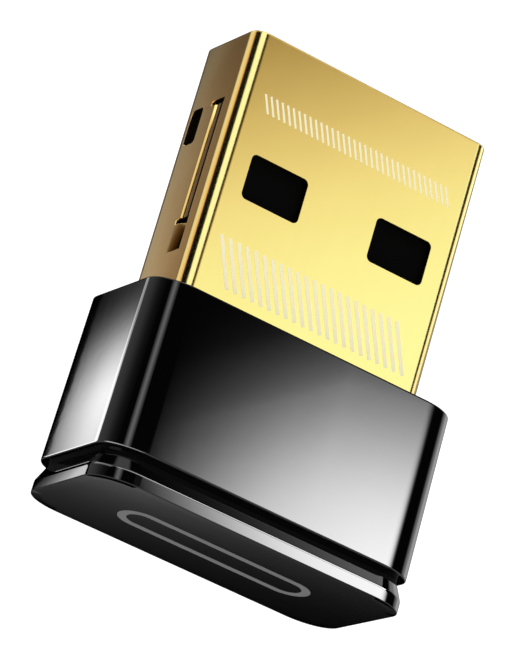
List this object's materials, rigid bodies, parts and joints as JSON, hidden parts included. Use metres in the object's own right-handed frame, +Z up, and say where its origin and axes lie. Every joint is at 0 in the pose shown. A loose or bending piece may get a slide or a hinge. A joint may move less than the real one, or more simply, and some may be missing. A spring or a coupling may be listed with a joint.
{
  "type": "usb wifi adapter",
  "caption": "Very small wifi adapter: black plastic sleeve with a grooved end cap around the root of a gold-plated standard A plug with windows, holding the board, chip and antenna.",
  "frame": {"origin": "on the surface it lies on, under the middle of the whole adapter", "axes": "+X across the plug, +Y towards the plug's tip, +Z up out of the plug's broad face that carries the marks"},
  "size_m": [0.0152, 0.0208, 0.007],
  "materials": {
    "housing_plastic": "glossy",
    "cap_plastic": "glossy",
    "gold_plating": "polished plating",
    "carrier_plastic": "matte",
    "board_laminate": "solder mask",
    "contact_gold": "plated",
    "chip_body": "moulded",
    "metal_can": "plated lid",
    "ferrite": "sintered",
    "capacitor_ceramic": "fired",
    "resistor_ceramic": "coated",
    "antenna_metal": "tin plated",
    "solder": "reflowed"
  },
  "bodies": {
    "root": {"housing_body": "housing_plastic", "end_cap": "cap_plastic", "plug_shell": "gold_plating", "board_carrier": "carrier_plastic", "rear_block": "carrier_plastic", "circuit_board": "board_laminate", "power_contact": "contact_gold", "data_minus_contact": "contact_gold", "data_plus_contact": "contact_gold", "ground_contact": "contact_gold", "wifi_chip": "chip_body", "front_end_module": "chip_body", "diplexer": "capacitor_ceramic", "crystal": "metal_can", "config_memory": "chip_body", "voltage_converter": "chip_body", "power_inductor": "ferrite", "input_capacitors": "capacitor_ceramic", "surge_protector": "chip_body", "decoupling_capacitors": "capacitor_ceramic", "signal_resistors": "resistor_ceramic", "antenna": "antenna_metal", "antenna_matching_parts": "capacitor_ceramic", "ground_solder_joints": "solder"}
  },
  "joints": []
}
